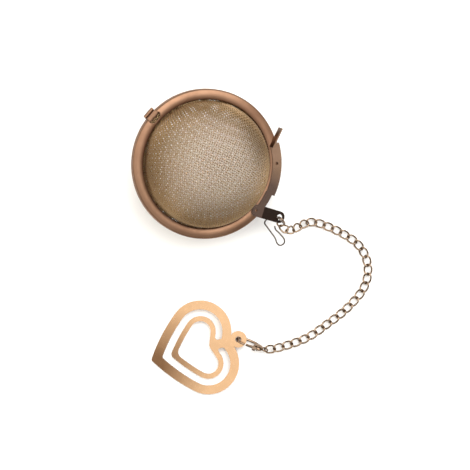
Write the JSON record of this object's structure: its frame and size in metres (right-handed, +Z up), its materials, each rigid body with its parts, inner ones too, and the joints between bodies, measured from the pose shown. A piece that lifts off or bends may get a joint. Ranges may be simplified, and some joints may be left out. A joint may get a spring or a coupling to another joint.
{
  "type": "tea infuser",
  "caption": "Hinged mesh ball for steeping tea, with a side latch, a chain, a lobster clasp and a flat heart charm.",
  "frame": {"origin": "point where the ball rests on the table", "axes": "+Z up from the table; the chain and the charm lie towards -Y, the latch faces +X"},
  "size_m": [0.0807, 0.1027, 0.0367],
  "materials": {
    "mesh": "woven wire",
    "rim": "satin copper-brown plating",
    "latch": "dark brown plating",
    "clip": "dull wire",
    "chain": "polished rose gold plating",
    "clasp": "polished rose gold plating",
    "charm": "polished rose gold plating"
  },
  "bodies": {
    "lower_half": {"lower_mesh_bowl": "mesh", "lower_rim": "rim", "hinge_strap": "rim", "hinge_pin": "rim"},
    "lid": {"upper_mesh_bowl": "mesh", "upper_rim": "rim", "hinge_leaf": "rim", "latch_rivet": "latch"},
    "latch_lever": {"latch_lever": "latch"},
    "wire_clip": {"wire_clip": "clip"},
    "chain_link_01": {"chain_link_01": "chain"},
    "chain_link_02": {"chain_link_02": "chain"},
    "chain_link_03": {"chain_link_03": "chain"},
    "chain_link_04": {"chain_link_04": "chain"},
    "chain_link_05": {"chain_link_05": "chain"},
    "chain_link_06": {"chain_link_06": "chain"},
    "chain_link_07": {"chain_link_07": "chain"},
    "chain_link_08": {"chain_link_08": "chain"},
    "chain_link_09": {"chain_link_09": "chain"},
    "chain_link_10": {"chain_link_10": "chain"},
    "chain_link_11": {"chain_link_11": "chain"},
    "chain_link_12": {"chain_link_12": "chain"},
    "chain_link_13": {"chain_link_13": "chain"},
    "chain_link_14": {"chain_link_14": "chain"},
    "chain_link_15": {"chain_link_15": "chain"},
    "chain_link_16": {"chain_link_16": "chain"},
    "chain_link_17": {"chain_link_17": "chain"},
    "chain_link_18": {"chain_link_18": "chain"},
    "chain_link_19": {"chain_link_19": "chain"},
    "chain_link_20": {"chain_link_20": "chain"},
    "chain_link_21": {"chain_link_21": "chain"},
    "chain_link_22": {"chain_link_22": "chain"},
    "chain_link_23": {"chain_link_23": "chain"},
    "chain_link_24": {"chain_link_24": "chain"},
    "chain_link_25": {"chain_link_25": "chain"},
    "chain_link_26": {"chain_link_26": "chain"},
    "chain_link_27": {"chain_link_27": "chain"},
    "chain_link_28": {"chain_link_28": "chain"},
    "chain_link_29": {"chain_link_29": "chain"},
    "chain_link_30": {"chain_link_30": "chain"},
    "clasp": {"clasp_body": "clasp", "clasp_pin": "clasp", "clasp_spring": "clasp"},
    "clasp_lever": {"clasp_lever": "clasp"},
    "heart_charm": {"heart_charm": "charm"}
  },
  "joints": [
    {"name": "lid_hinge", "type": "hinge", "parent": "lower_half", "child": "lid", "pos_m": [-0.02043, 0.01732, 0.02483], "axis": [-0.6457, -0.7591, 0.0826], "range_deg": [0, 135]},
    {"name": "latch_swing", "type": "hinge", "parent": "lid", "child": "latch_lever", "pos_m": [0.01448, -0.01441, 0.01248], "axis": [-0.246, 0.1044, -0.9636], "range_deg": [0, 45]},
    {"name": "clip_sway", "type": "hinge", "parent": "latch_lever", "child": "wire_clip", "pos_m": [0.02287, -0.0169, 0.01017], "axis": [0.9245, -0.2732, -0.2656], "range_deg": [-5, 5]},
    {"name": "clasp_gate", "type": "hinge", "parent": "clasp", "child": "clasp_lever", "pos_m": [0.01554, -0.06135, 0.00334], "axis": [-0.316, -0.8063, -0.5], "range_deg": [0, 11], "stiffness_Nm_per_rad": 0.0005, "springref_deg": -11.46},
    {"name": "charm_swing", "type": "hinge", "parent": "clasp", "child": "heart_charm", "pos_m": [0.00915, -0.0582, 0.0023], "axis": [-0.0522, -0.0408, 0.9978], "range_deg": [-12, 12]},
    {"name": "clasp_swing", "type": "hinge", "parent": "chain_link_30", "child": "clasp", "pos_m": [0.01809, -0.0617, 0.0023], "axis": [-0.0601, -0.713, -0.6985], "range_deg": [-15, 15]},
    {"name": "chain_swing_01", "type": "hinge", "parent": "latch_lever", "child": "chain_link_01", "pos_m": [0.02244, -0.01833, 0.01012], "axis": [-0.891, -0.3583, 0.2788], "range_deg": [-8, 8]},
    {"name": "chain_swing_02", "type": "hinge", "parent": "chain_link_01", "child": "chain_link_02", "pos_m": [0.02364, -0.01993, 0.00825], "axis": [0.4313, -0.4766, 0.766], "range_deg": [-20, 20]},
    {"name": "chain_swing_03", "type": "hinge", "parent": "chain_link_02", "child": "chain_link_03", "pos_m": [0.02575, -0.02152, 0.00673], "axis": [0.3835, 0.8505, -0.36], "range_deg": [-20, 20]},
    {"name": "chain_swing_04", "type": "hinge", "parent": "chain_link_03", "child": "chain_link_04", "pos_m": [0.02797, -0.02103, 0.00448], "axis": [-0.5386, -0.5389, -0.6477], "range_deg": [-20, 20]},
    {"name": "chain_swing_05", "type": "hinge", "parent": "chain_link_04", "child": "chain_link_05", "pos_m": [0.03028, -0.01956, 0.00308], "axis": [0.6589, -0.5655, 0.4961], "range_deg": [-20, 20]},
    {"name": "chain_swing_06", "type": "hinge", "parent": "chain_link_05", "child": "chain_link_06", "pos_m": [0.03275, -0.01845, 0.00168], "axis": [0.0537, 0.7343, 0.6767], "range_deg": [-20, 20]},
    {"name": "chain_swing_07", "type": "hinge", "parent": "chain_link_06", "child": "chain_link_07", "pos_m": [0.03573, -0.01848, 0.00107], "axis": [-0.1359, 0.7071, -0.6939], "range_deg": [-20, 20]},
    {"name": "chain_swing_08", "type": "hinge", "parent": "chain_link_07", "child": "chain_link_08", "pos_m": [0.03861, -0.01958, 0.00125], "axis": [-0.2112, -0.6749, -0.7071], "range_deg": [-20, 20]},
    {"name": "chain_swing_09", "type": "hinge", "parent": "chain_link_08", "child": "chain_link_09", "pos_m": [0.04141, -0.02076, 0.00106], "axis": [-0.2317, -0.669, 0.7062], "range_deg": [-20, 20]},
    {"name": "chain_swing_10", "type": "hinge", "parent": "chain_link_09", "child": "chain_link_10", "pos_m": [0.04413, -0.02213, 0.00114], "axis": [0.3016, 0.6396, 0.707], "range_deg": [-20, 20]},
    {"name": "chain_swing_11", "type": "hinge", "parent": "chain_link_10", "child": "chain_link_11", "pos_m": [0.04675, -0.02367, 0.00107], "axis": [0.3454, 0.6171, -0.707], "range_deg": [-20, 20]},
    {"name": "chain_swing_12", "type": "hinge", "parent": "chain_link_11", "child": "chain_link_12", "pos_m": [0.04925, -0.0254, 0.00113], "axis": [-0.3897, -0.59, -0.7071], "range_deg": [-20, 20]},
    {"name": "chain_swing_13", "type": "hinge", "parent": "chain_link_12", "child": "chain_link_13", "pos_m": [0.05123, -0.02771, 0.00102], "axis": [-0.5211, -0.478, 0.7071], "range_deg": [-20, 20]},
    {"name": "chain_swing_14", "type": "hinge", "parent": "chain_link_13", "child": "chain_link_14", "pos_m": [0.05259, -0.03045, 0.00118], "axis": [0.6156, 0.3483, 0.7069], "range_deg": [-20, 20]},
    {"name": "chain_swing_15", "type": "hinge", "parent": "chain_link_14", "child": "chain_link_15", "pos_m": [0.05324, -0.03343, 0.00101], "axis": [0.6813, 0.1902, -0.7068], "range_deg": [-20, 20]},
    {"name": "chain_swing_16", "type": "hinge", "parent": "chain_link_15", "child": "chain_link_16", "pos_m": [0.05321, -0.03648, 0.00118], "axis": [-0.7066, -0.0334, -0.7068], "range_deg": [-20, 20]},
    {"name": "chain_swing_17", "type": "hinge", "parent": "chain_link_16", "child": "chain_link_17", "pos_m": [0.05249, -0.03944, 0.00101], "axis": [-0.6958, 0.1274, 0.7068], "range_deg": [-20, 20]},
    {"name": "chain_swing_18", "type": "hinge", "parent": "chain_link_17", "child": "chain_link_18", "pos_m": [0.05112, -0.04217, 0.00118], "axis": [0.6493, -0.2806, 0.7068], "range_deg": [-20, 20]},
    {"name": "chain_swing_19", "type": "hinge", "parent": "chain_link_18", "child": "chain_link_19", "pos_m": [0.04918, -0.04452, 0.00101], "axis": [0.5695, -0.4196, -0.7068], "range_deg": [-20, 20]},
    {"name": "chain_swing_20", "type": "hinge", "parent": "chain_link_19", "child": "chain_link_20", "pos_m": [0.04712, -0.04675, 0.00114], "axis": [-0.5389, 0.4583, -0.7068], "range_deg": [-20, 20]},
    {"name": "chain_swing_21", "type": "hinge", "parent": "chain_link_20", "child": "chain_link_21", "pos_m": [0.0449, -0.04884, 0.00106], "axis": [-0.4976, 0.5024, 0.707], "range_deg": [-20, 20]},
    {"name": "chain_swing_22", "type": "hinge", "parent": "chain_link_21", "child": "chain_link_22", "pos_m": [0.04256, -0.05077, 0.00113], "axis": [0.4605, -0.5366, 0.7071], "range_deg": [-20, 20]},
    {"name": "chain_swing_23", "type": "hinge", "parent": "chain_link_22", "child": "chain_link_23", "pos_m": [0.04008, -0.05254, 0.00107], "axis": [0.421, -0.5682, -0.7071], "range_deg": [-20, 20]},
    {"name": "chain_swing_24", "type": "hinge", "parent": "chain_link_23", "child": "chain_link_24", "pos_m": [0.03763, -0.05434, 0.0011], "axis": [-0.4258, 0.5646, -0.7071], "range_deg": [-20, 20]},
    {"name": "chain_swing_25", "type": "hinge", "parent": "chain_link_24", "child": "chain_link_25", "pos_m": [0.03521, -0.05617, 0.0011], "axis": [-0.4261, 0.5643, 0.7071], "range_deg": [-20, 20]},
    {"name": "chain_swing_26", "type": "hinge", "parent": "chain_link_25", "child": "chain_link_26", "pos_m": [0.03258, -0.05771, 0.00113], "axis": [0.3643, -0.6061, 0.7071], "range_deg": [-20, 20]},
    {"name": "chain_swing_27", "type": "hinge", "parent": "chain_link_26", "child": "chain_link_27", "pos_m": [0.02981, -0.05896, 0.00106], "axis": [0.3056, -0.6377, -0.7071], "range_deg": [-20, 20]},
    {"name": "chain_swing_28", "type": "hinge", "parent": "chain_link_27", "child": "chain_link_28", "pos_m": [0.02692, -0.0599, 0.00127], "axis": [-0.2655, 0.6564, -0.7061], "range_deg": [-20, 20]},
    {"name": "chain_swing_29", "type": "hinge", "parent": "chain_link_28", "child": "chain_link_29", "pos_m": [0.02402, -0.06078, 0.00147], "axis": [-0.1625, 0.6897, 0.7056], "range_deg": [-20, 20]},
    {"name": "chain_swing_30", "type": "hinge", "parent": "chain_link_29", "child": "chain_link_30", "pos_m": [0.0211, -0.06154, 0.00188], "axis": [0.2689, -0.66, 0.7015], "range_deg": [-20, 20]}
  ]
}
